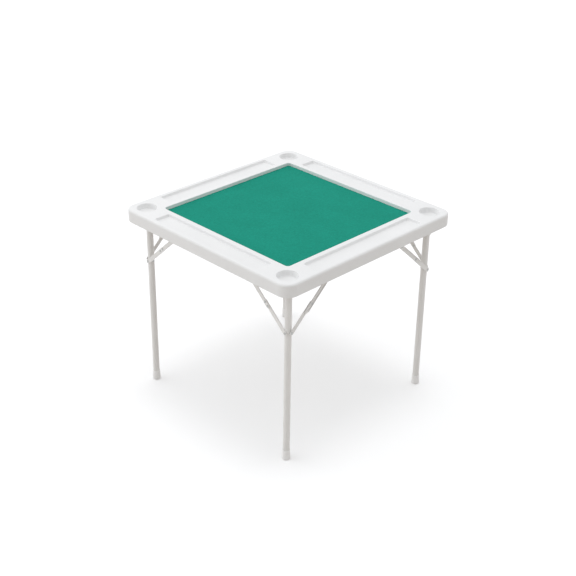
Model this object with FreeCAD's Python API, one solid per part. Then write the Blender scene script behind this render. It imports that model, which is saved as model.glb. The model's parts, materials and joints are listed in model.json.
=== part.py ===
import FreeCAD, Part
import math
import os
from FreeCAD import Matrix, Placement, Vector

# Folding mahjong table: a blow-moulded square top with a felt well, tile trays and cups in its rim,
# on two steel leg frames that fold flat under it. Millimetres, +Z up, origin on the floor at the centre.

# Moulded top
table_side = 860.0
table_height = 745.0
skirt_depth = 49.0
skirt_thickness = 30.0
skirt_inner_radius = 18.0
corner_radius = 45.0
rim_edge_radius = 8.0
skirt_edge_radius = 3.0
moulding_wall = 3.0

# Rim of the top, from its edge inwards: border, tile tray, ridge, then the playing well
tray_border = 20.0
tray_width = 66.0
tray_depth = 10.0
tray_draft = 3.0
tray_corner_radius = 8.0
tray_floor_radius = 2.5
ridge_width = 20.5
recess_edge_radius = 2.0
well_depth = 13.6
well_corner_radius = 12.0

# Cups in the four corners of the rim
cup_inset = 62.5
cup_diameter = 76.0
cup_floor_diameter = 65.0
cup_depth = 20.0
cup_floor_radius = 4.0
cup_tray_gap = 58.5

# Felt glued on the floor of the well
felt_thickness = 1.2
felt_margin = 0.5

# Underside: a channel round the edge takes the folded legs, and a dimpled panel stiffens the middle
channel_roof_wall = 11.0
panel_drop = 9.0
panel_inset = 3.5
panel_draft = 4.0
panel_corner_radius = 24.0
dimple_pitch = 90.0
dimple_margin = 40.0
dimple_mouth_diameter = 34.0
dimple_tip_diameter = 16.0

# Leg frames
leg_diameter = 25.0
leg_wall = 1.2
axle_diameter = 25.4
axle_wall = 1.2
axle_skirt_gap = 39.0
front_axle_drop = 20.0
rear_axle_drop = 58.0

# Gussets: two flat bars, lapped and riveted together, across each corner of a frame on its outer face
front_gusset_drop = 179.0
rear_gusset_drop = 150.0
gusset_angle = 42.5
gusset_gauge = 2.5
gusset_lap_share = 0.45
lap_rivet_pitch = 18.0

# Foot caps and axle plugs
cap_height = 38.0
cap_floor = 4.0
cap_foot_diameter = 31.0
cap_mouth_diameter = 28.0
cap_edge_radius = 1.5
cap_clearance = 0.05
plug_flange = 1.0
plug_length = 9.0

# Saddles that carry the axles under the top
saddle_width = 28.0
saddle_wall = 5.0
saddle_foot_length = 14.0
saddle_foot_thickness = 4.0
saddle_foot_radius = 5.0
saddle_leg_gap = 67.0
running_clearance = 0.08

# Folding stays: a flat lower link and a channel-shaped upper link side by side, outside the legs
strip_width = 16.0
strip_gauge = 1.5
lower_link_gauge = 2.0
upper_link_depth = 4.5
upper_link_tail = 34.0
flange_inset = 18.0
front_stay_drop = 176.0
rear_stay_drop = 154.0
stay_angle = 42.5
stay_cap_clearance = 0.7
stay_skirt_clearance = 9.0
side_clearance = 0.3
tab_gauge = 1.8
tab_end_radius = 7.5
tab_foot_width = 34.0
tab_foot_length = 25.0

# Rivets, bushes and screws
rivet_diameter = 6.0
rivet_head_diameter = 10.0
rivet_head_height = 1.8
flat_head_height = 1.0
rivet_tail = 3.0
bush_diameter = 11.0
collar_diameter = 12.0
screw_diameter = 4.0
screw_length = 9.0
screw_head_diameter = 8.0
screw_head_height = 2.2
screw_head_radius = 1.0
tab_screw_pitch = 20.0

# All cuts run past the faces they open by this much, and edges count as level within the tolerance
overrun = 1.0
level_tolerance = 0.01

# Heights and places worked out from the sizes above
half_side = table_side / 2
skirt_bottom = table_height - skirt_depth
channel_roof = table_height - tray_depth - channel_roof_wall
panel_underside = channel_roof - panel_drop
well_floor = table_height - well_depth
well_side = table_side - 2 * (tray_border + tray_width + ridge_width)
panel_side = well_side - 2 * panel_inset
cup_offset = half_side - cup_inset
tray_offset = half_side - tray_border - tray_width / 2
tray_length = 2 * (cup_offset - cup_diameter / 2 - cup_tray_gap)

leg_radius = leg_diameter / 2
axle_radius = axle_diameter / 2
rivet_radius = rivet_diameter / 2
pivot_hole_radius = rivet_radius + running_clearance

# Side by side across the folding stay, from the skirt in to the leg
upper_flange_x = half_side - skirt_thickness - stay_skirt_clearance
upper_inner_x = upper_flange_x - upper_link_depth
tab_x = upper_inner_x + strip_gauge + side_clearance
lower_outer_x = upper_inner_x - flat_head_height - side_clearance
lower_inner_x = lower_outer_x - lower_link_gauge
leg_x = lower_inner_x - stay_cap_clearance - cap_foot_diameter / 2
leg_y = half_side - skirt_thickness - axle_skirt_gap

# Heights of the two frames: each gusset and stay meets its leg this far below the axle
rows = ("front", "rear")
axle_heights = {"front": channel_roof - front_axle_drop, "rear": channel_roof - rear_axle_drop}
gusset_drops = {"front": front_gusset_drop, "rear": rear_gusset_drop}
stay_drops = {"front": front_stay_drop, "rear": rear_stay_drop}
along_x = Vector(1, 0, 0)
along_y = Vector(0, 1, 0)
upward = Vector(0, 0, 1)


def rounded_rectangle(size_x, size_y, radius, middle):
    """Level wire round the point middle, with arcs at its corners."""
    reach_x = size_x / 2 - radius
    reach_y = size_y / 2 - radius
    arcs = []
    for quarter, (side_x, side_y) in enumerate(((1, 1), (-1, 1), (-1, -1), (1, -1))):
        centre = middle + Vector(side_x * reach_x, side_y * reach_y, 0)
        start = quarter * math.pi / 2
        arcs.append(Part.ArcOfCircle(Part.Circle(centre, upward, radius), start, start + math.pi / 2))
    edges = []
    for arc, following in zip(arcs, arcs[1:] + arcs[:1]):
        edges.append(arc.toShape())
        edges.append(Part.LineSegment(arc.EndPoint, following.StartPoint).toShape())
    return Part.Wire(edges)


def rounded_prism(size_x, size_y, radius, middle, height):
    """Upright block on a rounded rectangle, from the level of middle."""
    return Part.Face(rounded_rectangle(size_x, size_y, radius, middle)).extrude(upward * height)


def drafted_prism(size_x, size_y, radius, middle, height, draft):
    """Block that widens upwards by draft on every side."""
    low = rounded_rectangle(size_x - 2 * draft, size_y - 2 * draft, radius - draft / 2, middle)
    high = rounded_rectangle(size_x, size_y, radius, middle + upward * height)
    return Part.makeLoft([low, high], True, True)


def edges_at(shape, level, reach):
    """Edges that lie flat at this height, within reach of the table's middle."""
    flat = []
    for edge in shape.Edges:
        box = edge.BoundBox
        at_level = max(abs(box.ZMin - level), abs(box.ZMax - level)) < level_tolerance
        inside = max(abs(box.XMin), abs(box.XMax), abs(box.YMin), abs(box.YMax)) < reach
        if at_level and inside:
            flat.append(edge)
    return flat


def four_ways(shape):
    """The shape and its three quarter turns about the table's middle."""
    turned = []
    for quarter in range(4):
        copy = shape.copy()
        copy.rotate(Vector(0, 0, 0), upward, quarter * 90)
        turned.append(copy)
    return turned


def well_tool():
    floor = Vector(0, 0, well_floor)
    return rounded_prism(well_side, well_side, well_corner_radius, floor, well_depth + overrun)


def tray_tool():
    """Tile tray with sloping walls, along the rim on the +X side."""
    grow = tray_draft * overrun / tray_depth
    floor = Vector(tray_offset, 0, table_height - tray_depth)
    width = tray_width + 2 * grow
    length = tray_length + 2 * grow
    return drafted_prism(width, length, tray_corner_radius, floor, tray_depth + overrun, tray_draft + grow)


def cup_tool():
    """Round cup with a sloping wall, in the +X +Y corner."""
    slope = (cup_diameter - cup_floor_diameter) / 2 / cup_depth
    floor = Vector(cup_offset, cup_offset, table_height - cup_depth)
    mouth_radius = cup_diameter / 2 + slope * overrun
    return Part.makeCone(cup_floor_diameter / 2, mouth_radius, cup_depth + overrun, floor, upward)


def cup_boss():
    """Outside of the cup in the +X +Y corner, which hangs below the roof of the leg channel."""
    slope = (cup_diameter - cup_floor_diameter) / 2 / cup_depth
    height = cup_depth + moulding_wall
    base = Vector(cup_offset, cup_offset, table_height - height)
    base_radius = cup_floor_diameter / 2 + moulding_wall
    return Part.makeCone(base_radius, base_radius + slope * height, height, base, upward)


def underside_tool():
    """Room inside the skirt: the leg channel, less the stiff panel in the middle and the four cups."""
    opening_side = table_side - 2 * skirt_thickness
    mouth = Vector(0, 0, skirt_bottom - overrun)
    room = rounded_prism(opening_side, opening_side, skirt_inner_radius, mouth, channel_roof - mouth.z)
    panel_face = Vector(0, 0, panel_underside)
    drop = panel_drop + overrun
    panel = drafted_prism(panel_side, panel_side, panel_corner_radius, panel_face, drop, panel_draft)
    return room.cut([panel] + four_ways(cup_boss()))


def dimple_tools():
    """Grid of cones pressed up into the panel until they meet the floor of the well."""
    depth = well_floor - moulding_wall - panel_underside
    slope = (dimple_mouth_diameter - dimple_tip_diameter) / 2 / depth
    mouth_radius = dimple_mouth_diameter / 2 + slope * overrun
    count = int((panel_side - 2 * dimple_margin) // dimple_pitch) + 1
    first = -(count - 1) * dimple_pitch / 2
    cones = []
    for row in range(count):
        for column in range(count):
            place = Vector(first + column * dimple_pitch, first + row * dimple_pitch, panel_underside - overrun)
            cones.append(Part.makeCone(mouth_radius, dimple_tip_diameter / 2, depth + overrun, place, upward))
    return cones


def table_top():
    """One moulding: skirt, rim with trays and cups, sunken well and dimpled underside."""
    base = Vector(0, 0, skirt_bottom)
    top = rounded_prism(table_side, table_side, corner_radius, base, skirt_depth)
    top = top.makeFillet(rim_edge_radius, edges_at(top, table_height, table_side))
    top = top.makeFillet(skirt_edge_radius, edges_at(top, skirt_bottom, table_side))
    top = top.cut([well_tool()] + four_ways(tray_tool()) + four_ways(cup_tool()))
    inside_border = half_side - tray_border / 2
    top = top.makeFillet(recess_edge_radius, edges_at(top, table_height, inside_border))
    top = top.makeFillet(tray_floor_radius, edges_at(top, table_height - tray_depth, inside_border))
    top = top.makeFillet(cup_floor_radius, edges_at(top, table_height - cup_depth, inside_border))
    top = top.cut([underside_tool()])
    pilots = [screw_hole(place) for place in saddle_screw_places() + tab_screw_places()]
    return top.cut(dimple_tools() + pilots)


def playing_felt():
    side = well_side - 2 * felt_margin
    floor = Vector(0, 0, well_floor)
    return rounded_prism(side, side, well_corner_radius - felt_margin, floor, felt_thickness)


def rod(radius, start, end):
    """Round bar from one point to another."""
    reach = end - start
    return Part.makeCylinder(radius, reach.Length, start, reach)


def gusset_direction():
    """Way up a gusset, from the leg to the axle."""
    angle = math.radians(gusset_angle)
    return Vector(-math.cos(angle), 0, math.sin(angle))


def gusset_span(row):
    """Length of a gusset between its rivets on the leg and on the axle."""
    return gusset_drops[row] / math.sin(math.radians(gusset_angle))


def gusset_lap(row):
    """How far up the gusset its two lap rivets sit."""
    middle = gusset_span(row) * gusset_lap_share
    return middle - lap_rivet_pitch / 2, middle + lap_rivet_pitch / 2


def gusset_point(row, distance, bars):
    """Point on the gusset's line, this far up from the leg rivet and this many bars out from the tubes."""
    face_y = leg_y + axle_radius + bars * gusset_gauge
    return Vector(leg_x, face_y, axle_heights[row] - gusset_drops[row]) + gusset_direction() * distance


def tube_rivet_shank(row, distance, bars):
    """Shank through the near wall of the tube, out to the face of this many bars."""
    tube_face = gusset_point(row, distance, 0)
    inner = tube_face - along_y * (axle_radius - leg_radius + leg_wall + rivet_tail)
    return rod(rivet_radius, inner, gusset_point(row, distance, bars))


def stay_rivet_shank(row):
    """Pivot of the folding stay, right through the leg and out past the lower link."""
    return rod(rivet_radius, stay_point(row, 0, leg_x - leg_radius), stay_point(row, 0, stay_head_x()))


def leg(row):
    """Leg tube, fitted round the axle at its top and standing in its foot cap."""
    foot = Vector(leg_x, leg_y, cap_floor)
    head = Vector(leg_x, leg_y, axle_heights[row])
    bore = rod(leg_radius - leg_wall, foot - upward * overrun, head + upward * overrun)
    axle_room = rod(axle_radius, Vector(0, leg_y, head.z), Vector(half_side, leg_y, head.z))
    holes = [tube_rivet_shank(row, 0, 1), stay_rivet_shank(row)]
    return rod(leg_radius, foot, head).cut([bore, axle_room] + holes)


def axle(row):
    """Cross tube that turns in the saddles, from the outside of one leg to the other."""
    end = Vector(leg_x + leg_radius, leg_y, axle_heights[row])
    start = Vector(-end.x, end.y, end.z)
    bore = rod(axle_radius - axle_wall, start - along_x * overrun, end + along_x * overrun)
    hole = tube_rivet_shank(row, gusset_span(row), 1)
    return rod(axle_radius, start, end).cut([bore, hole, hole.mirror(Vector(0, 0, 0), along_x)])


def axle_plug(row):
    """Plastic plug that closes the end of the axle."""
    face = Vector(leg_x + leg_radius, leg_y, axle_heights[row])
    spigot = rod(axle_radius - axle_wall - cap_clearance, face - along_x * plug_length, face)
    return spigot.fuse(rod(axle_radius, face, face + along_x * plug_flange)).removeSplitter()


def foot_cap():
    """Tapered plastic foot, pushed over the end of the leg."""
    floor = Vector(leg_x, leg_y, 0)
    cap = Part.makeCone(cap_foot_diameter / 2, cap_mouth_diameter / 2, cap_height, floor, upward)
    cap = cap.makeFillet(cap_edge_radius, edges_at(cap, 0, table_side))
    seat = floor + upward * cap_floor
    return cap.cut(rod(leg_radius + cap_clearance, seat, floor + upward * (cap_height + overrun)))


def flat_bar(length, hole_places, gauge, hole_radius):
    """Flat strip with round ends about X 0 and X length, up from Z 0, with holes along its middle."""
    radius = strip_width / 2
    half_width = along_y * radius
    near = Part.Arc(half_width, Vector(-radius, 0, 0), -half_width)
    far = Part.Arc(along_x * length - half_width, Vector(length + radius, 0, 0), along_x * length + half_width)
    sides = [Part.LineSegment(near.EndPoint, far.StartPoint), Part.LineSegment(far.EndPoint, near.StartPoint)]
    outline = Part.Wire([near.toShape(), sides[0].toShape(), far.toShape(), sides[1].toShape()])
    bar = Part.Face(outline).extrude(upward * gauge)
    holes = [rod(hole_radius, Vector(x, 0, -overrun), Vector(x, 0, gauge + overrun)) for x in hole_places]
    return bar.cut(holes)


def flange(start, end, edge):
    """Side of a channel link, turned up from its edge between two places, with sloping ends."""
    foot = [Vector(start, edge, 0), Vector(end, edge, 0)]
    crest_start = Vector(start + upper_link_depth, edge, upper_link_depth)
    crest_end = Vector(end - upper_link_depth, edge, upper_link_depth)
    outline = Part.makePolygon(foot + [crest_end, crest_start] + foot[:1])
    return Part.Face(outline).extrude(along_y * strip_gauge)


def laid(bar, origin, direction, outward):
    """A bar moved to its place, along direction and with its thickness going outward."""
    across = outward.cross(direction)
    turn = Matrix(direction.x, across.x, outward.x, origin.x,
                  direction.y, across.y, outward.y, origin.y,
                  direction.z, across.z, outward.z, origin.z,
                  0, 0, 0, 1)
    bar.Placement = Placement(turn)
    return bar


def lower_gusset(row):
    """Bar riveted on the leg, which ends in the lap."""
    lap_low, lap_high = gusset_lap(row)
    bar = flat_bar(lap_high, (0, lap_low, lap_high), gusset_gauge, rivet_radius)
    return laid(bar, gusset_point(row, 0, 0), gusset_direction(), along_y)


def upper_gusset(row):
    """Bar riveted on the axle, which laps over the outside of the lower bar."""
    span = gusset_span(row)
    lap_low, lap_high = gusset_lap(row)
    bar = flat_bar(span - lap_low, (0, span - lap_high, span - lap_low), gusset_gauge, rivet_radius)
    return laid(bar, gusset_point(row, span, 1), -gusset_direction(), along_y)


def head(place, way, height):
    """Round rivet head that stands out of a face."""
    return rod(rivet_head_diameter / 2, place, place + way * height)


def gusset_rivets(row):
    """The rivets of one gusset: on the leg, two in the lap, and on the axle with a shoulder under the bar."""
    span = gusset_span(row)
    leg_head = head(gusset_point(row, 0, 1), along_y, rivet_head_height)
    rivets = [tube_rivet_shank(row, 0, 1).fuse(leg_head)]
    for distance in gusset_lap(row):
        inner = gusset_point(row, distance, 0)
        outer = gusset_point(row, distance, 2)
        heads = [head(inner, -along_y, rivet_head_height), head(outer, along_y, rivet_head_height)]
        rivets.append(rod(rivet_radius, inner, outer).fuse(heads))
    shoulder = rod(collar_diameter / 2, gusset_point(row, span, 0), gusset_point(row, span, 1))
    axle_head = head(gusset_point(row, span, 2), along_y, rivet_head_height)
    rivets.append(tube_rivet_shank(row, span, 2).fuse([shoulder, axle_head]))
    return [rivet.removeSplitter() for rivet in rivets]


def stay_direction():
    """Way up the straight stay, from the leg to the top."""
    angle = math.radians(stay_angle)
    return Vector(0, -math.cos(angle), math.sin(angle))


def stay_sizes(row):
    """Lengths of the lower and upper link that let the straight stay fold flat beside the leg."""
    rise = stay_drops[row]
    length = rise / math.sin(math.radians(stay_angle))
    run = rise / math.tan(math.radians(stay_angle))
    return (length - run + rise) / 2, (length + run - rise) / 2


def stay_point(row, distance, x):
    """Point on the stay's line, this far up from its pivot on the leg."""
    return Vector(x, leg_y, axle_heights[row] - stay_drops[row]) + stay_direction() * distance


def stay_top(row, x):
    """Pivot of the upper link under the top, level with the axle."""
    return stay_point(row, sum(stay_sizes(row)), x)


def stay_head_x():
    """Where the flat heads between the two links start, just clear of the lower link."""
    return lower_outer_x + side_clearance / 2


def lower_link(row):
    """Flat link that turns on the leg."""
    length = stay_sizes(row)[0]
    bar = flat_bar(length, (0, length), lower_link_gauge, pivot_hole_radius)
    return laid(bar, stay_point(row, 0, lower_inner_x), stay_direction(), along_x)


def upper_link(row):
    """Link under the top, with its flanges turned out and a tail that runs on past the knee."""
    length = stay_sizes(row)[1]
    end = length + upper_link_tail
    bar = flat_bar(end, (0, length), strip_gauge, pivot_hole_radius)
    edges = (-strip_width / 2, strip_width / 2 - strip_gauge)
    link = bar.fuse([flange(flange_inset, end, edge) for edge in edges]).removeSplitter()
    return laid(link, stay_top(row, upper_inner_x), -stay_direction(), along_x)


def knee_half(row, face_x, way, gauge, head_height):
    """One half of the knee rivet: head behind its link, shank through the link, collar between the links."""
    face = stay_point(row, stay_sizes(row)[0], face_x)
    split = face + way * ((upper_inner_x - lower_outer_x - side_clearance) / 2)
    back = face - way * gauge
    half = rod(rivet_radius, back, split).fuse(head(back, -way, head_height))
    return half.fuse(rod(collar_diameter / 2, face, split)).removeSplitter()


def knee_pin(row):
    return knee_half(row, lower_outer_x, along_x, lower_link_gauge, flat_head_height)


def knee_cap(row):
    return knee_half(row, upper_inner_x, -along_x, strip_gauge, rivet_head_height)


def stay_bush(row):
    """Spacer on the pivot, shaped to the leg, that keeps the lower link clear of the foot caps."""
    start = stay_point(row, 0, leg_x)
    end = stay_point(row, 0, lower_inner_x - side_clearance)
    tube_side = Part.makeCylinder(leg_radius, strip_width, start - upward * strip_width / 2, upward)
    return rod(bush_diameter / 2, start, end).cut([tube_side, stay_rivet_shank(row)])


def stay_leg_rivet(row):
    """Long rivet through the leg, bush and lower link, with a flat head that clears the upper link."""
    inner = stay_point(row, 0, leg_x - leg_radius)
    outer = stay_point(row, 0, stay_head_x())
    heads = [head(inner, -along_x, rivet_head_height), head(outer, along_x, flat_head_height)]
    return stay_rivet_shank(row).fuse(heads).removeSplitter()


def stay_tab(row):
    """Bent plate that hangs the upper link from the roof of the leg channel."""
    pivot = stay_top(row, tab_x)
    roof = Vector(tab_x, pivot.y, channel_roof)
    half_foot = along_y * tab_foot_width / 2
    half_end = along_y * tab_end_radius
    round_end = Part.Arc(pivot - half_end, pivot - upward * tab_end_radius, pivot + half_end)
    corners = [round_end.EndPoint, roof + half_foot, roof - half_foot, round_end.StartPoint]
    sides = [Part.LineSegment(one, other).toShape() for one, other in zip(corners, corners[1:])]
    plate = Part.Face(Part.Wire([round_end.toShape()] + sides)).extrude(along_x * tab_gauge)
    foot_corner = roof - half_foot - along_x * tab_foot_length - upward * tab_gauge
    foot = Part.makeBox(tab_foot_length + tab_gauge, tab_foot_width, tab_gauge, foot_corner)
    tools = [rod(rivet_radius, pivot - along_x * overrun, pivot + along_x * (tab_gauge + overrun))]
    tools += [screw_hole(place) for place in one_tab_screw_places(row)]
    return plate.fuse(foot).removeSplitter().cut(tools)


def stay_top_rivet(row):
    """Rivet fixed in the tab, on which the upper link turns, with a flat head that clears the lower link."""
    inner = stay_top(row, stay_head_x() + flat_head_height)
    outer = stay_top(row, tab_x + tab_gauge)
    heads = [head(inner, -along_x, flat_head_height), head(outer, along_x, rivet_head_height)]
    return rod(rivet_radius, inner, outer).fuse(heads).removeSplitter()


def saddle_radius():
    return axle_radius + running_clearance + saddle_wall


def saddle_places():
    """Distance of each saddle from the middle of its axle."""
    outer = leg_x - saddle_leg_gap
    return {"left": -outer, "middle": 0.0, "right": outer}


def saddle(row, x):
    """Plastic block screwed under the top, with a bore that the axle turns in."""
    radius = saddle_radius()
    start = Vector(x - saddle_width / 2, leg_y, axle_heights[row])
    end = start + along_x * saddle_width
    post = Part.makeBox(saddle_width, 2 * radius, channel_roof - start.z, start - along_y * radius)
    foot_base = Vector(x, leg_y, channel_roof - saddle_foot_thickness)
    foot_span = 2 * (radius + saddle_foot_length)
    foot = rounded_prism(saddle_width, foot_span, saddle_foot_radius, foot_base, saddle_foot_thickness)
    block = rod(radius, start, end).fuse([post, foot]).removeSplitter()
    bore = rod(axle_radius + running_clearance, start - along_x * overrun, end + along_x * overrun)
    return block.cut([bore] + [screw_hole(place) for place in one_saddle_screw_places(x)])


def one_saddle_screw_places(x):
    reach = saddle_radius() + saddle_foot_length / 2
    return [Vector(x, leg_y + side * reach, channel_roof - saddle_foot_thickness) for side in (-1, 1)]


def saddle_screw_places():
    """Screws of all saddles, each at the face that its head bears on."""
    places = []
    for x in saddle_places().values():
        for place in one_saddle_screw_places(x):
            places += [place, Vector(place.x, -place.y, place.z)]
    return places


def one_tab_screw_places(row):
    pivot = stay_top(row, tab_x - tab_foot_length / 2)
    level = channel_roof - tab_gauge
    return [Vector(pivot.x, pivot.y + side * tab_screw_pitch / 2, level) for side in (-1, 1)]


def tab_screw_places():
    """Screws of the four tabs, each at the face that its head bears on."""
    places = []
    for row in rows:
        way = -1 if row == "front" else 1
        for place in one_tab_screw_places(row):
            places += [Vector(side * place.x, way * place.y, place.z) for side in (-1, 1)]
    return places


def screw_hole(place):
    """Hole for the screw whose head bears at place, as deep as its tip reaches."""
    return rod(screw_diameter / 2, place - upward * overrun, place + upward * screw_length)


def screw(place):
    """Pan-head screw driven up into the moulding."""
    pan = rod(screw_head_diameter / 2, place - upward * screw_head_height, place)
    pan = pan.makeFillet(screw_head_radius, edges_at(pan, place.z - screw_head_height, table_side))
    return pan.fuse(rod(screw_diameter / 2, place, place + upward * screw_length)).removeSplitter()


def in_quarter(shape, row, side):
    """A piece modelled at +X +Y, mirrored to the named quarter of the table."""
    if side == "left":
        shape = shape.mirror(Vector(0, 0, 0), along_x)
    if row == "front":
        shape = shape.mirror(Vector(0, 0, 0), along_y)
    return shape


def both_sides(shapes, row):
    """A group of alike pieces on the left and right of one frame."""
    return Part.makeCompound([in_quarter(one, row, side) for one in shapes for side in ("left", "right")])


def frame_parts(row):
    """All pieces of one folding frame, its saddles and its two stays, by name."""
    parts = {}
    parts[row + "_axle"] = in_quarter(axle(row), row, "right")
    parts[row + "_axle_plugs"] = both_sides([axle_plug(row)], row)
    parts[row + "_gusset_rivets"] = both_sides(gusset_rivets(row), row)
    parts[row + "_stay_bushes"] = both_sides([stay_bush(row)], row)
    parts[row + "_stay_leg_rivets"] = both_sides([stay_leg_rivet(row)], row)
    for place, x in saddle_places().items():
        parts[row + "_" + place + "_saddle"] = in_quarter(saddle(row, x), row, "right")
    for side in ("left", "right"):
        corner = row + "_" + side
        pieces = {"leg": leg(row), "foot_cap": foot_cap()}
        pieces.update({"lower_gusset": lower_gusset(row), "upper_gusset": upper_gusset(row)})
        pieces.update({"lower_link": lower_link(row), "upper_link": upper_link(row)})
        pieces.update({"knee_pin": knee_pin(row), "knee_cap": knee_cap(row), "stay_tab": stay_tab(row)})
        for piece, shape in pieces.items():
            parts[corner + "_" + piece] = in_quarter(shape, row, side)
    return parts


def all_parts():
    """Every piece of the table by node name."""
    parts = {"table_top": table_top(), "playing_felt": playing_felt()}
    top_rivets = []
    for row in rows:
        parts.update(frame_parts(row))
        top_rivets.append(both_sides([stay_top_rivet(row)], row))
    parts["stay_top_rivets"] = Part.makeCompound([solid for group in top_rivets for solid in group.Solids])
    places = saddle_screw_places() + tab_screw_places()
    parts["underside_screws"] = Part.makeCompound([screw(place) for place in places])
    return parts


os.makedirs("parts", exist_ok=True)
for name, shape in all_parts().items():
    shape.exportStep(os.path.join("parts", name + ".step"))
    print(name, len(shape.Solids), round(shape.Volume), shape.isValid())
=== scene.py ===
import json
import math
import bmesh
import bpy
from mathutils import Matrix, Vector, noise


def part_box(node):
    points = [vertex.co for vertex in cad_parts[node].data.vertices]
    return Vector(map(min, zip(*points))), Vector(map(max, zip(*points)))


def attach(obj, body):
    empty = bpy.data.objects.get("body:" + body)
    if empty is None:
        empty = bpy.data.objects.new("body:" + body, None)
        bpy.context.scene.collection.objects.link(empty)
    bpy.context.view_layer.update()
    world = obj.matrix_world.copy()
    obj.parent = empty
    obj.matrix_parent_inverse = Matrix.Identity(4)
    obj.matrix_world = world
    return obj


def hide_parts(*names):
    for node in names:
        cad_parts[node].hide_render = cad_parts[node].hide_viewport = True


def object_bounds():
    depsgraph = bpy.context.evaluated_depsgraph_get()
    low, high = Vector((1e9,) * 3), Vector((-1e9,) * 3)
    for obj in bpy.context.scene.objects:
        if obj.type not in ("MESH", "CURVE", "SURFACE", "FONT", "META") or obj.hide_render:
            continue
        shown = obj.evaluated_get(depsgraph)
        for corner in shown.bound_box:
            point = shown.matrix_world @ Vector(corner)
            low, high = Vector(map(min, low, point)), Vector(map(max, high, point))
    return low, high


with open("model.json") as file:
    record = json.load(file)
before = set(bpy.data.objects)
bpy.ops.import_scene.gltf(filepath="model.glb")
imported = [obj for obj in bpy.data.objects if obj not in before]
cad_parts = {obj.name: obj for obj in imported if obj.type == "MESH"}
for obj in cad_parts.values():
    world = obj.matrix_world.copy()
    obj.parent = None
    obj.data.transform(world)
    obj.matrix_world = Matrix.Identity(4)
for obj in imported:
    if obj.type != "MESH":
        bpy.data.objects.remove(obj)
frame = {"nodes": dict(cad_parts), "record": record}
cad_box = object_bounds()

# Folding mahjong table, dressed for the picture.
# Lengths in metres, angles in degrees, colours in linear light.

# Camera, fitted to the square top, the skirt and the legs
camera_lens = 72.2415
camera_sensor = 36.0
camera_azimuth = 44.8568
camera_elevation = 28.4087
camera_roll = 0.8552
camera_distance = 4.4122
camera_shift_right = 0.0031
camera_aim_height = 0.4166

# Studio: a pale floor under a white dome, a wide soft lamp high on the far left, and a distant one nearly
# straight above. The dome is brighter on the left, and dimmer and warmer behind the camera.
floor_size = 60.0
floor_drop = 0.0004
floor_bounce = (0.622, 0.584, 0.542, 1.0)
floor_seen_colour = (0.98, 0.98, 0.98, 1.0)
floor_seen_glow = 0.058
dome_colour = (0.868, 0.876, 0.890, 1.0)
bright_way = (-0.68, -0.73, 0.05)
bright_colour = (1.20, 1.23, 1.27, 1.0)
dim_way = (0.62, -0.785, 0.0)
dim_colour = (0.10, 0.07, 0.03, 1.0)
bright_falloff = 4.0
dim_falloff = 6.0
lamp_place = (-1.10, 0.0, 2.50)
lamp_size = 1.8
lamp_power = 3.4
overhead_power = 0.40
overhead_angle = 23.0
overhead_aim = (0.01, -0.08, -1.0)
black = (0.0, 0.0, 0.0, 1.0)
white = (1.0, 1.0, 1.0, 1.0)

# Patterns of the finishes: cells a metre, detail and roughness of each noise,
# and strength and depth of each bump
cloud_noise = (5.0, 3.0, 0.55)
speck_noise = (900.0, 2.0, 0.6)
gloss_noise = (40.0, 4.0, 0.6)
sink_noise = (14.0, 1.0, 0.4)
sink_bump = (0.12, 0.0008)
pebble_bump = (0.22, 0.0004)
pebble_smoothness = 0.8
mottle_noise = (7.0, 4.0, 0.6)
fibre_noise = (420.0, 5.0, 0.7)
fibre_draw_share = 0.22
lower_fibre_bump = (0.55, 0.0005)
upper_fibre_bump = (0.45, 0.0005)
drift_noise = (11.0, 3.0, 0.5)
satin_noise = (160.0, 3.0, 0.6)
peel_noise = (620.0, 1.5, 0.5)
peel_bump = (0.18, 0.0003)
stain_noise = (260.0, 4.0, 0.6)
polish_noise = (900.0, 3.0, 0.7)
mark_noise = (2200.0, 2.0, 0.6)
mark_bump = (0.12, 0.0001)

# Moulded plastics by slot: name, darker and lighter colour, least and greatest roughness, pebbles a metre
plastics = {
    "moulded_top":
        ("moulded_polythene", (0.784, 0.785, 0.783), (0.816, 0.816, 0.813), (0.58, 0.70), 750.0),
    "foot_plastic":
        ("foot_plastic", (0.870, 0.868, 0.864), (0.910, 0.908, 0.905), (0.44, 0.58), 1100.0),
    "fitting_plastic":
        ("fitting_plastic", (0.780, 0.780, 0.775), (0.830, 0.830, 0.826), (0.38, 0.50), 1100.0),
}
cloud_low = 0.30
cloud_high = 0.70
speck_stops = ((0.25, (0.965, 0.965, 0.965)), (0.60, (1.0, 1.0, 1.0)))
plastic_specular = 0.30

# Felt, powder coat and zinc: colours along their noises, and how they shine
felt_stops = ((0.25, (0.0067, 0.255, 0.180)), (0.75, (0.0091, 0.287, 0.206)))
dark_fibre_stops = ((0.30, (0.80, 0.82, 0.82)), (0.62, (1.06, 1.05, 1.05)))
light_fibre_stops = ((0.34, (0.86, 0.88, 0.88)), (0.66, (1.08, 1.06, 1.06)))
felt_roughness = 0.95
felt_specular = 0.06
felt_sheen = 0.05
felt_sheen_roughness = 0.55
felt_sheen_tint = (0.62, 0.95, 0.86, 1.0)
coat_stops = ((0.30, (0.750, 0.741, 0.724)), (0.70, (0.788, 0.780, 0.765)))
coat_roughness = (0.30, 0.44)
coat_layer = 0.12
coat_layer_roughness = 0.22
zinc_stops = ((0.30, (0.40, 0.40, 0.39)), (0.70, (0.56, 0.56, 0.55)))
zinc_roughness = (0.26, 0.46)

# Names of the leg frames and of their two sides, as the nodes have them
frame_rows = ("front", "rear")
frame_sides = ("left", "right")

# Felt sheet in the well
felt_corner_radius = 0.0115
felt_spacing = 0.0055
felt_edge_steps = (0.0002, 0.0007, 0.0016, 0.0032)
felt_edge_drop = 0.00045
felt_edge_reach = 0.0008
felt_wave_height = 0.00012
felt_wave_scale = 9.0
felt_lift = 0.00002

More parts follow.
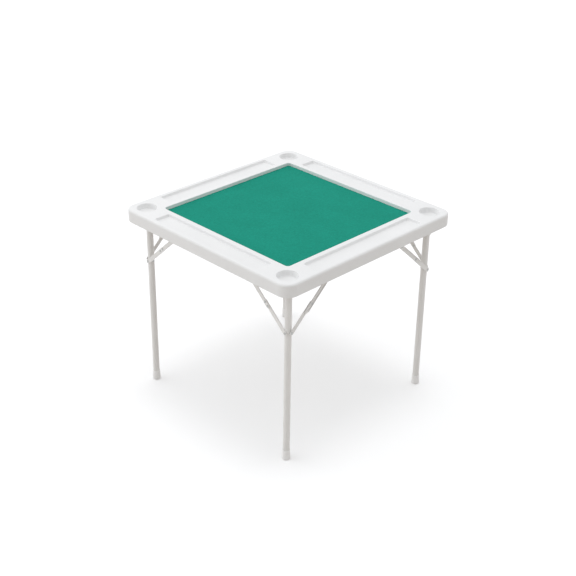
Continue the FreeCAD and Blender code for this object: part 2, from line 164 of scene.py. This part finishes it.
# Domed rivets, with shares of a head's radius and height from its rim to its crown
round_steps = 40
join_distance = 0.000002
same_place = 0.00001
place_digits = 5
flat_head_limit = 0.0014
dome_shares = ((1.0, 0.0), (1.0, 0.22), (0.975, 0.42), (0.90, 0.62), (0.76, 0.79), (0.56, 0.91), (0.30, 0.98),
               (0.0, 1.0))
flat_dome_shares = ((1.0, 0.0), (1.0, 0.45), (0.95, 0.78), (0.84, 0.95), (0.60, 1.0), (0.0, 1.0))
crease_angle = 35.0

# Weld beads where the legs meet the axles
weld_radius = 0.0017
weld_lump_share = 0.16
weld_lumps = 22
weld_steps = 132
weld_sides = 10


def new_material(name):
    """An empty node material and its main shader."""
    material = bpy.data.materials.new(name)
    material.use_nodes = True
    return material, material.node_tree.nodes["Principled BSDF"]


def add(tree, kind, **settings):
    """A new node with these settings."""
    node = tree.nodes.new(kind)
    for key, value in settings.items():
        setattr(node, key, value)
    return node


def place(tree):
    """Coordinates in metres, fixed to the piece."""
    return add(tree, "ShaderNodeTexCoord").outputs["Object"]


def noise_of(tree, scale, detail, roughness, stretch=None):
    """Fractal noise with this many cells a metre, drawn out along one way if stretch says so."""
    texture = add(tree, "ShaderNodeTexNoise")
    texture.inputs["Scale"].default_value = scale
    texture.inputs["Detail"].default_value = detail
    texture.inputs["Roughness"].default_value = roughness
    where = place(tree)
    if stretch:
        mapping = add(tree, "ShaderNodeMapping")
        mapping.inputs["Scale"].default_value = stretch
        tree.links.new(where, mapping.inputs["Vector"])
        where = mapping.outputs["Vector"]
    tree.links.new(where, texture.inputs["Vector"])
    return texture.outputs["Fac"]


def cells_of(tree, scale, smoothness):
    """Rounded pebbles with this many cells a metre."""
    texture = add(tree, "ShaderNodeTexVoronoi", feature="SMOOTH_F1")
    texture.inputs["Scale"].default_value = scale
    texture.inputs["Smoothness"].default_value = smoothness
    tree.links.new(place(tree), texture.inputs["Vector"])
    return texture.outputs["Distance"]


def ramp_of(tree, factor, stops):
    """Colours along a factor, from a list of positions and colours."""
    ramp = add(tree, "ShaderNodeValToRGB")
    elements = ramp.color_ramp.elements
    while len(elements) < len(stops):
        elements.new(1.0)
    for element, (position, colour) in zip(elements, stops):
        element.position = position
        element.color = (*colour, 1.0)
    tree.links.new(factor, ramp.inputs["Fac"])
    return ramp.outputs["Color"]


def spread_of(tree, factor, low, high):
    """A factor from 0 to 1 spread between two values."""
    spread = add(tree, "ShaderNodeMapRange")
    spread.inputs["To Min"].default_value = low
    spread.inputs["To Max"].default_value = high
    tree.links.new(factor, spread.inputs["Value"])
    return spread.outputs["Result"]


def blended(tree, blend, one, other):
    """Two colours added or multiplied in full."""
    mix = add(tree, "ShaderNodeMix", data_type="RGBA", blend_type=blend)
    mix.inputs["Factor"].default_value = 1.0
    tree.links.new(one, mix.inputs["A"])
    tree.links.new(other, mix.inputs["B"])
    return mix.outputs["Result"]


def bump_of(tree, height, strength, distance, under=None):
    """Bumps of this depth, on top of other bumps if there are any."""
    bump = add(tree, "ShaderNodeBump")
    bump.inputs["Strength"].default_value = strength
    bump.inputs["Distance"].default_value = distance
    tree.links.new(height, bump.inputs["Height"])
    if under:
        tree.links.new(under, bump.inputs["Normal"])
    return bump.outputs["Normal"]


def moulded_plastic(name, dark, light, gloss, grain):
    """Moulded polythene: pebbled grain, faint flow clouds and slight sink marks."""
    material, shader = new_material(name)
    tree = material.node_tree
    clouds = noise_of(tree, *cloud_noise)
    specks = noise_of(tree, *speck_noise)
    base = ramp_of(tree, clouds, ((cloud_low, dark), (cloud_high, light)))
    flecks = ramp_of(tree, specks, speck_stops)
    tree.links.new(blended(tree, "MULTIPLY", base, flecks), shader.inputs["Base Color"])
    pebbles = cells_of(tree, grain, pebble_smoothness)
    tree.links.new(spread_of(tree, noise_of(tree, *gloss_noise), *gloss), shader.inputs["Roughness"])
    sinks = bump_of(tree, noise_of(tree, *sink_noise), *sink_bump)
    tree.links.new(bump_of(tree, pebbles, *pebble_bump, sinks), shader.inputs["Normal"])
    shader.inputs["Specular IOR Level"].default_value = plastic_specular
    return material


def felt_cloth():
    """Short-napped wool felt: matted fibres in two ways, a soft mottle and a pale sheen."""
    material, shader = new_material("felt_cloth")
    tree = material.node_tree
    mottle = noise_of(tree, *mottle_noise)
    fibres_along = noise_of(tree, *fibre_noise, (1.0, fibre_draw_share, 1.0))
    fibres_across = noise_of(tree, *fibre_noise, (fibre_draw_share, 1.0, 1.0))
    base = ramp_of(tree, mottle, felt_stops)
    dark_fibres = ramp_of(tree, fibres_along, dark_fibre_stops)
    light_fibres = ramp_of(tree, fibres_across, light_fibre_stops)
    colour = blended(tree, "MULTIPLY", base, dark_fibres)
    tree.links.new(blended(tree, "MULTIPLY", colour, light_fibres), shader.inputs["Base Color"])
    shader.inputs["Roughness"].default_value = felt_roughness
    shader.inputs["Specular IOR Level"].default_value = felt_specular
    shader.inputs["Sheen Weight"].default_value = felt_sheen
    shader.inputs["Sheen Roughness"].default_value = felt_sheen_roughness
    shader.inputs["Sheen Tint"].default_value = felt_sheen_tint
    nap = bump_of(tree, fibres_along, *lower_fibre_bump)
    tree.links.new(bump_of(tree, fibres_across, *upper_fibre_bump, nap), shader.inputs["Normal"])
    return material


def powder_coat():
    """White powder coat on steel tube and strip: orange peel and a satin gloss."""
    material, shader = new_material("powder_coat")
    tree = material.node_tree
    drift = noise_of(tree, *drift_noise)
    tree.links.new(ramp_of(tree, drift, coat_stops), shader.inputs["Base Color"])
    satin = noise_of(tree, *satin_noise)
    tree.links.new(spread_of(tree, satin, *coat_roughness), shader.inputs["Roughness"])
    peel = noise_of(tree, *peel_noise)
    tree.links.new(bump_of(tree, peel, *peel_bump), shader.inputs["Normal"])
    shader.inputs["Coat Weight"].default_value = coat_layer
    shader.inputs["Coat Roughness"].default_value = coat_layer_roughness
    return material


def zinc_plate():
    """Zinc on rivets and screws, with fine turning marks and a slight yellow cast."""
    material, shader = new_material("zinc_plate")
    tree = material.node_tree
    stains = noise_of(tree, *stain_noise)
    tree.links.new(ramp_of(tree, stains, zinc_stops), shader.inputs["Base Color"])
    shader.inputs["Metallic"].default_value = 1.0
    polish = noise_of(tree, *polish_noise)
    tree.links.new(spread_of(tree, polish, *zinc_roughness), shader.inputs["Roughness"])
    marks = noise_of(tree, *mark_noise)
    tree.links.new(bump_of(tree, marks, *mark_bump), shader.inputs["Normal"])
    return material


def seen_white(tree, light, white_shader, output):
    """One shader for light on the table, and another that the camera and reflections see."""
    path = add(tree, "ShaderNodeLightPath")
    seen = path.outputs["Is Camera Ray"]
    for ray in ("Is Glossy Ray", "Is Transmission Ray"):
        either = add(tree, "ShaderNodeMath", operation="MAXIMUM")
        tree.links.new(seen, either.inputs[0])
        tree.links.new(path.outputs[ray], either.inputs[1])
        seen = either.outputs["Value"]
    choice = add(tree, "ShaderNodeMixShader")
    tree.links.new(seen, choice.inputs["Fac"])
    tree.links.new(light, choice.inputs[1])
    tree.links.new(white_shader, choice.inputs[2])
    tree.links.new(choice.outputs["Shader"], tree.nodes[output].inputs["Surface"])


def studio_floor():
    """White paper: it lights the table from below, and to the camera it is white with a pale shadow."""
    material, shader = new_material("studio_floor")
    tree = material.node_tree
    tree.nodes.remove(shader)
    bounce = add(tree, "ShaderNodeBsdfDiffuse")
    bounce.inputs["Color"].default_value = floor_bounce
    seen = add(tree, "ShaderNodeBsdfDiffuse")
    seen.inputs["Color"].default_value = floor_seen_colour
    glow = add(tree, "ShaderNodeEmission")
    glow.inputs["Strength"].default_value = floor_seen_glow
    both = add(tree, "ShaderNodeAddShader")
    tree.links.new(seen.outputs["BSDF"], both.inputs[0])
    tree.links.new(glow.outputs["Emission"], both.inputs[1])
    seen_white(tree, bounce.outputs["BSDF"], both.outputs["Shader"], "Material Output")
    return material


def new_piece(name, points, faces, material, smooth=True):
    """A mesh piece with its material, linked into the scene."""
    mesh = bpy.data.meshes.new(name)
    mesh.from_pydata(points, [], faces)
    mesh.update()
    mesh.polygons.foreach_set("use_smooth", [smooth] * len(mesh.polygons))
    mesh.materials.append(material)
    piece = bpy.data.objects.new(name, mesh)
    bpy.context.scene.collection.objects.link(piece)
    return piece


def lobe(tree, way, power, plain, colour):
    """A colour that grows out of a plain one towards one way of the room."""
    facing = add(tree, "ShaderNodeVectorMath", operation="DOT_PRODUCT")
    facing.inputs[1].default_value = way
    tree.links.new(add(tree, "ShaderNodeTexCoord").outputs["Generated"], facing.inputs[0])
    ahead = add(tree, "ShaderNodeMapRange")
    tree.links.new(facing.outputs["Value"], ahead.inputs["Value"])
    falloff = add(tree, "ShaderNodeMath", operation="POWER")
    falloff.inputs[1].default_value = power
    tree.links.new(ahead.outputs["Result"], falloff.inputs[0])
    tint = add(tree, "ShaderNodeMix", data_type="RGBA")
    tint.inputs["A"].default_value = plain
    tint.inputs["B"].default_value = colour
    tree.links.new(falloff.outputs["Value"], tint.inputs["Factor"])
    return tint.outputs["Result"]


def room():
    """Light from the dome all round, and plain white where the camera looks past the table."""
    world = bpy.data.worlds.new("room")
    bpy.context.scene.world = world
    world.use_nodes = True
    tree = world.node_tree
    light = tree.nodes["Background"]
    dome = lobe(tree, dim_way, dim_falloff, dome_colour, dim_colour)
    bright = lobe(tree, bright_way, bright_falloff, black, bright_colour)
    tree.links.new(blended(tree, "ADD", dome, bright), light.inputs["Color"])
    backdrop = add(tree, "ShaderNodeBackground")
    backdrop.inputs["Color"].default_value = white
    seen_white(tree, light.outputs["Background"], backdrop.outputs["Background"], "World Output")


def add_lamp(name, kind, power):
    """A lamp that shines straight down until it is turned."""
    light = bpy.data.lights.new(name, kind)
    light.energy = power
    lamp = bpy.data.objects.new(name, light)
    bpy.context.scene.collection.objects.link(lamp)
    return lamp


def studio():
    """Floor, lamps and room."""
    reach = floor_size / 2
    corners = [(x * reach, y * reach, -floor_drop) for x, y in ((-1, -1), (1, -1), (1, 1), (-1, 1))]
    new_piece("floor", corners, [(0, 1, 2, 3)], studio_floor(), False)
    lamp = add_lamp("soft_lamp", "AREA", lamp_power)
    lamp.data.size = lamp_size
    lamp.location = lamp_place
    aim = Vector((0, 0, cad_box[1][2])) - Vector(lamp_place)
    lamp.rotation_euler = aim.to_track_quat("-Z", "Y").to_euler()
    overhead = add_lamp("overhead_lamp", "SUN", overhead_power)
    overhead.data.angle = math.radians(overhead_angle)
    overhead.rotation_euler = Vector(overhead_aim).to_track_quat("-Z", "Y").to_euler()
    room()


def camera():
    """Camera where the photographer stood."""
    azimuth = math.radians(camera_azimuth)
    elevation = math.radians(camera_elevation)
    right = Vector((math.cos(azimuth), math.sin(azimuth), 0.0))
    back = Vector((math.sin(azimuth) * math.cos(elevation), -math.cos(azimuth) * math.cos(elevation),
                   math.sin(elevation)))
    up = back.cross(right)
    roll = math.radians(camera_roll)
    tilted_right = right * math.cos(roll) + up * math.sin(roll)
    tilted_up = up * math.cos(roll) - right * math.sin(roll)
    aim = right * camera_shift_right + Vector((0, 0, camera_aim_height))
    eye = aim + back * camera_distance
    data = bpy.data.cameras.new("camera")
    data.lens = camera_lens
    data.sensor_width = camera_sensor
    data.sensor_height = camera_sensor
    holder = bpy.data.objects.new("camera", data)
    columns = (tilted_right, tilted_up, back, eye)
    rows = [[column[axis] for column in columns] for axis in range(3)]
    holder.matrix_world = Matrix(rows + [[0, 0, 0, 1]])
    bpy.context.scene.collection.objects.link(holder)
    bpy.context.scene.camera = holder


def grid_lines(reach):
    """Places of the felt's grid lines along one side: even in the middle and close together at the edges."""
    count = int(2 * reach / felt_spacing)
    inner = reach - 2 * felt_edge_steps[-1]
    lines = [-inner + 2 * inner * step / count for step in range(count + 1)]
    edge = [reach - step for step in felt_edge_steps] + [reach]
    return sorted(lines + edge + [-line for line in edge])


def felt_point(x, y, reach, top):
    """A point of the felt's upper face, pulled in at the round corners and pressed down at the cut edge."""
    centre = reach - felt_corner_radius
    over_x = abs(x) - centre
    over_y = abs(y) - centre
    if over_x > 0 and over_y > 0:
        length = math.hypot(over_x, over_y)
        pull = min(1.0, felt_corner_radius / length)
        x = math.copysign(centre + over_x * pull, x)
        y = math.copysign(centre + over_y * pull, y)
        inside = felt_corner_radius - length * pull
    else:
        inside = min(reach - abs(x), reach - abs(y))
    wave = noise.noise(Vector((x, y, 0)) * felt_wave_scale) * felt_wave_height
    calm = min(1.0, inside / felt_corner_radius)
    drop = felt_edge_drop * math.exp(-inside / felt_edge_reach)
    return (x, y, top - felt_wave_height - drop + wave * calm)


def felt_sheet(material):
    """The green felt, a cut sheet that lies on the floor of the well."""
    low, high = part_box("playing_felt")
    reach = high[0]
    lines = grid_lines(reach)
    count = len(lines)
    points = [felt_point(x, y, reach, high[2]) for y in lines for x in lines]
    points += [(x, y, low[2] + felt_lift) for x, y, z in points]
    faces = []
    under = count * count
    for row in range(count - 1):
        for column in range(count - 1):
            one = row * count + column
            ring = (one, one + 1, one + count + 1, one + count)
            faces.append(ring)
            faces.append(tuple(under + point for point in reversed(ring)))
    rim = list(range(count)) + [row * count + count - 1 for row in range(1, count)]
    rim += [under - 1 - column for column in range(1, count)]
    rim += [row * count for row in range(count - 2, 0, -1)]
    for one, other in zip(rim, rim[1:] + rim[:1]):
        faces.append((other, one, under + one, under + other))
    sheet = new_piece("felt_sheet", points, faces, material)
    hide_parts("playing_felt")
    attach(sheet, "table")


def body_of(node):
    """The body that carries a CAD node."""
    for body, nodes in frame["record"]["behaviour"]["bodies"].items():
        if node in nodes:
            return body


def loose_pieces(mesh):
    """The loose pieces of a mesh, each as a list of its points."""
    seen = set()
    pieces = []
    for start in mesh.verts:
        if start.index in seen:
            continue
        seen.add(start.index)
        piece = [start]
        for point in piece:
            for edge in point.link_edges:
                other = edge.other_vert(point)
                if other.index not in seen:
                    seen.add(other.index)
                    piece.append(other)
        pieces.append(piece)
    return pieces


def middle_of(piece):
    """Middle of a loose piece's box."""
    spans = [[point.co[axis] for point in piece] for axis in range(3)]
    return Vector([(min(span) + max(span)) / 2 for span in spans])


def walls_of(piece, axis, middle):
    """Straight walls of a turned piece from one end to the other, as start, end and radius."""
    walls = set()
    for point in piece:
        for edge in point.link_edges:
            offsets = [end.co - middle for end in edge.verts]
            places = sorted(offset[axis] for offset in offsets)
            radii = []
            for offset in offsets:
                offset[axis] = 0
                radii.append(offset.length)
            if places[1] - places[0] > same_place and abs(radii[1] - radii[0]) < same_place:
                walls.add(tuple(round(value, place_digits) for value in (*places, radii[0])))
    return sorted(walls)


def head_outline(base, end, radius):
    """Outline of a domed head, from where it sits to its crown."""
    shares = flat_dome_shares if abs(end - base) < flat_head_limit else dome_shares
    return [(base + (end - base) * rise, radius * share) for share, rise in shares]


def rivet_outline(walls):
    """Outline of a rivet from end to end, with its heads domed."""
    outline = []
    for start, end, radius in walls:
        outline += [(start, radius), (end, radius)]
    if walls[0][2] > walls[1][2]:
        outline = head_outline(walls[0][1], walls[0][0], walls[0][2])[::-1] + outline[2:]
    if walls[-1][2] > walls[-2][2]:
        outline = outline[:-2] + head_outline(walls[-1][0], walls[-1][1], walls[-1][2])
    return outline


def turned(outline, axis, middle, first):
    """Points and faces of an outline turned about an axis, with the points counted from first."""
    across, up = (axis + 1) % 3, (axis + 2) % 3
    points = []
    for along, radius in outline:
        for step in range(round_steps):
            turn = 2 * math.pi * step / round_steps
            point = middle.copy()
            point[axis] += along
            point[across] += radius * math.cos(turn)
            point[up] += radius * math.sin(turn)
            points.append(point)
    faces = []
    for ring in range(len(outline) - 1):
        for step in range(round_steps):
            one = first + ring * round_steps + step
            other = first + ring * round_steps + (step + 1) % round_steps
            faces.append((one, other, other + round_steps, one + round_steps))
    last = first + (len(outline) - 1) * round_steps
    faces.append(tuple(range(first + round_steps - 1, first - 1, -1)))
    faces.append(tuple(range(last, last + round_steps)))
    return points, faces


def domed_rivets(node, axis, material):
    """The rivets of a CAD node with domed heads, in the same places and of the same size."""
    mesh = bmesh.new()
    mesh.from_mesh(frame["nodes"][node].data)
    bmesh.ops.remove_doubles(mesh, verts=mesh.verts, dist=join_distance)
    mesh.verts.index_update()
    points = []
    faces = []
    for piece in loose_pieces(mesh):
        middle = middle_of(piece)
        outline = rivet_outline(walls_of(piece, axis, middle))
        more_points, more_faces = turned(outline, axis, middle, len(points))
        points += more_points
        faces += more_faces
    mesh.free()
    rivets = new_piece(node + "_domed", points, faces, material)
    tidy_mesh(rivets.data)
    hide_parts(node)
    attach(rivets, body_of(node))


def tidy_mesh(data):
    """Join the points that fall together at each crown, and crease the sharp edges."""
    mesh = bmesh.new()
    mesh.from_mesh(data)
    bmesh.ops.remove_doubles(mesh, verts=mesh.verts, dist=join_distance)
    bmesh.ops.dissolve_degenerate(mesh, edges=mesh.edges, dist=join_distance)
    bmesh.ops.recalc_face_normals(mesh, faces=mesh.faces)
    mesh.to_mesh(data)
    mesh.free()
    data.set_sharp_from_angle(angle=math.radians(crease_angle))


def rivet_work(material):
    """All the rivets: across the leg planes on the gussets, and along X on the stays."""
    for row in frame_rows:
        domed_rivets(row + "_gusset_rivets", 1, material)
        domed_rivets(row + "_stay_leg_rivets", 0, material)
        for side in frame_sides:
            for half in ("_knee_pin", "_knee_cap"):
                domed_rivets(row + "_" + side + half, 0, material)
    domed_rivets("stay_top_rivets", 0, material)


def weld_path(row, side):
    """Points round the line in which a leg and its axle cross, each with the way out from the leg."""
    low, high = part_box(row + "_" + side + "_leg")
    axle_low, axle_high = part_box(row + "_axle")
    leg_radius = (high[0] - low[0]) / 2
    axle_radius = (axle_high[1] - axle_low[1]) / 2
    middle = Vector(((low[0] + high[0]) / 2, (low[1] + high[1]) / 2, (axle_low[2] + axle_high[2]) / 2))
    path = []
    for step in range(weld_steps):
        turn = 2 * math.pi * step / weld_steps
        out = Vector((math.cos(turn), math.sin(turn), 0))
        across = leg_radius * out.y
        drop = Vector((0, 0, math.sqrt(axle_radius ** 2 - across ** 2)))
        path.append((middle + out * leg_radius - drop, out))
    return path


def weld_bead(row, side, material):
    """Lumpy bead of weld round the top of a leg, under its axle."""
    path = weld_path(row, side)
    points = []
    faces = []
    for step, (spot, out) in enumerate(path):
        ahead = (path[(step + 1) % weld_steps][0] - path[step - 1][0]).normalized()
        up = ahead.cross(out).normalized()
        lump = math.sin(2 * math.pi * weld_lumps * step / weld_steps)
        radius = weld_radius * (1 + weld_lump_share * lump)
        here = step * weld_sides
        following = (step + 1) % weld_steps * weld_sides
        for corner in range(weld_sides):
            turn = 2 * math.pi * corner / weld_sides
            points.append(spot + (out * math.cos(turn) + up * math.sin(turn)) * radius)
            beside = (corner + 1) % weld_sides
            faces.append((here + corner, here + beside, following + beside, following + corner))
    bead = new_piece(row + "_" + side + "_weld_bead", points, faces, material)
    tidy_mesh(bead.data)
    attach(bead, row + "_frame")


def dress_nodes():
    """Each CAD node takes the finish that its slot in the record calls for."""
    finishes = {slot: moulded_plastic(*plastic) for slot, plastic in plastics.items()}
    finishes["felt"] = felt_cloth()
    finishes["frame_paint"] = powder_coat()
    finishes["zinc"] = zinc_plate()
    for subpart in frame["record"]["subparts"]:
        node = frame["nodes"][subpart["node"]]
        for slot in node.material_slots:
            slot.material = finishes[subpart["material_slot"]]
    return finishes


bpy.context.scene.view_settings.view_transform = "Standard"
studio()
camera()
finishes = dress_nodes()
felt_sheet(finishes["felt"])
rivet_work(finishes["zinc"])
for row in frame_rows:
    for side in frame_sides:
        weld_bead(row, side, finishes["frame_paint"])
